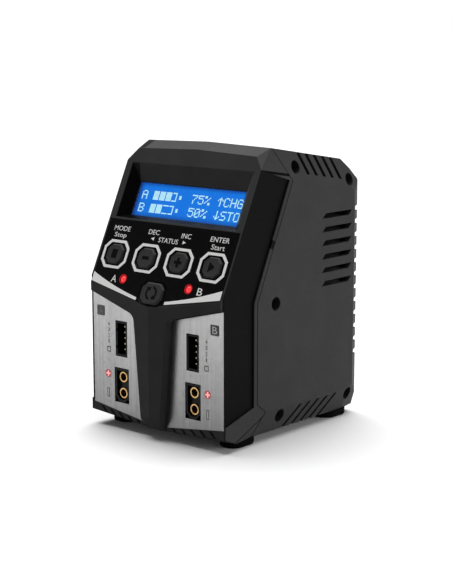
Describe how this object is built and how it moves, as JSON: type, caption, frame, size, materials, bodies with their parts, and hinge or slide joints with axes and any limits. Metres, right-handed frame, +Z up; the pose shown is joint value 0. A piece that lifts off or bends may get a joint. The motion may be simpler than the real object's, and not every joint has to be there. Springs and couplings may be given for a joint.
{
  "type": "balance battery charger",
  "caption": "Upright two-channel balance charger with a sloping face, display and keys above flat metal plates that carry balance headers and output sockets.",
  "frame": {"origin": "under the middle of the case, on the surface that the feet stand on", "axes": "+X to the right seen from the front, +Y towards the back, +Z up"},
  "size_m": [0.0786, 0.0974, 0.125],
  "materials": {
    "case_plastic": "fine sparked texture",
    "front_plastic": "satin moulded",
    "plate_steel": "brushed upright",
    "black_plastic": "satin moulded",
    "film": "printed gloss film",
    "key_plastic": "satin",
    "key_stem": "satin",
    "window": "clear polished",
    "lcd": "backlit blue",
    "lamp": "tinted clear",
    "steel": "zinc plated",
    "gilt": "gold plated",
    "tin": "tin plated",
    "rubber": "matt",
    "board": "solder mask",
    "dark_board": "black solder mask",
    "chip": "epoxy",
    "ferrite": "matt",
    "coil_tape": "film tape",
    "can": "sleeved",
    "heatsink": "extruded",
    "copper": "enamelled wire",
    "wire": "insulation",
    "ribbon": "flat cable"
  },
  "bodies": {
    "case": {"balance_header_a": "black_plastic", "balance_header_b": "black_plastic", "balance_pins_a": "gilt", "balance_pins_b": "gilt", "board_screws": "steel", "button_overlay": "film", "buzzer": "black_plastic", "capacitors": "can", "case_screws": "steel", "charge_board": "dark_board", "connector_board": "board", "control_chip": "chip", "display_board": "board", "display_ribbon": "ribbon", "fan_frame": "black_plastic", "fan_leads": "wire", "fan_screws": "steel", "foot_front_left": "rubber", "foot_front_right": "rubber", "foot_rear_left": "rubber", "foot_rear_right": "rubber", "front_plate_a": "plate_steel", "front_plate_b": "plate_steel", "front_shell": "front_plastic", "heatsink": "heatsink", "inductors": "copper", "lcd_board": "board", "lcd_frame": "tin", "lcd_glass": "lcd", "lcd_window": "window", "left_cover": "case_plastic", "main_board": "board", "mains_choke": "coil_tape", "mains_fuse": "tin", "mains_inlet": "black_plastic", "mains_inlet_blades": "tin", "mains_leads": "wire", "mosfets": "chip", "output_contacts_a": "gilt", "output_contacts_b": "gilt", "output_socket_a": "black_plastic", "output_socket_b": "black_plastic", "right_cover": "case_plastic", "status_led_a": "lamp", "status_led_b": "lamp", "tact_switches": "black_plastic", "transformer_coil": "coil_tape", "transformer_core": "ferrite"},
    "key_stop": {"button_stop": "key_plastic", "plunger_stop": "key_stem"},
    "key_minus": {"button_minus": "key_plastic", "plunger_minus": "key_stem"},
    "key_plus": {"button_plus": "key_plastic", "plunger_plus": "key_stem"},
    "key_start": {"button_start": "key_plastic", "plunger_start": "key_stem"},
    "key_channel": {"button_channel": "key_plastic", "plunger_channel": "key_stem"},
    "rotor": {"fan_rotor": "black_plastic"}
  },
  "joints": [
    {"name": "press_stop", "type": "slide", "parent": "case", "child": "key_stop", "axis": [0, 0.9036, -0.4283], "range_m": [0, 0.0008], "stiffness_N_per_m": 1000, "springref_m": -0.0005},
    {"name": "press_minus", "type": "slide", "parent": "case", "child": "key_minus", "axis": [0, 0.9036, -0.4283], "range_m": [0, 0.0008], "stiffness_N_per_m": 1000, "springref_m": -0.0005},
    {"name": "press_plus", "type": "slide", "parent": "case", "child": "key_plus", "axis": [0, 0.9036, -0.4283], "range_m": [0, 0.0008], "stiffness_N_per_m": 1000, "springref_m": -0.0005},
    {"name": "press_start", "type": "slide", "parent": "case", "child": "key_start", "axis": [0, 0.9036, -0.4283], "range_m": [0, 0.0008], "stiffness_N_per_m": 1000, "springref_m": -0.0005},
    {"name": "press_channel", "type": "slide", "parent": "case", "child": "key_channel", "axis": [0, 0.9036, -0.4283], "range_m": [0, 0.0008], "stiffness_N_per_m": 1000, "springref_m": -0.0005},
    {"name": "fan_spin", "type": "hinge", "parent": "case", "child": "rotor", "pos_m": [0, 0.04033, 0.078], "axis": [0, 1, 0], "continuous": true}
  ]
}
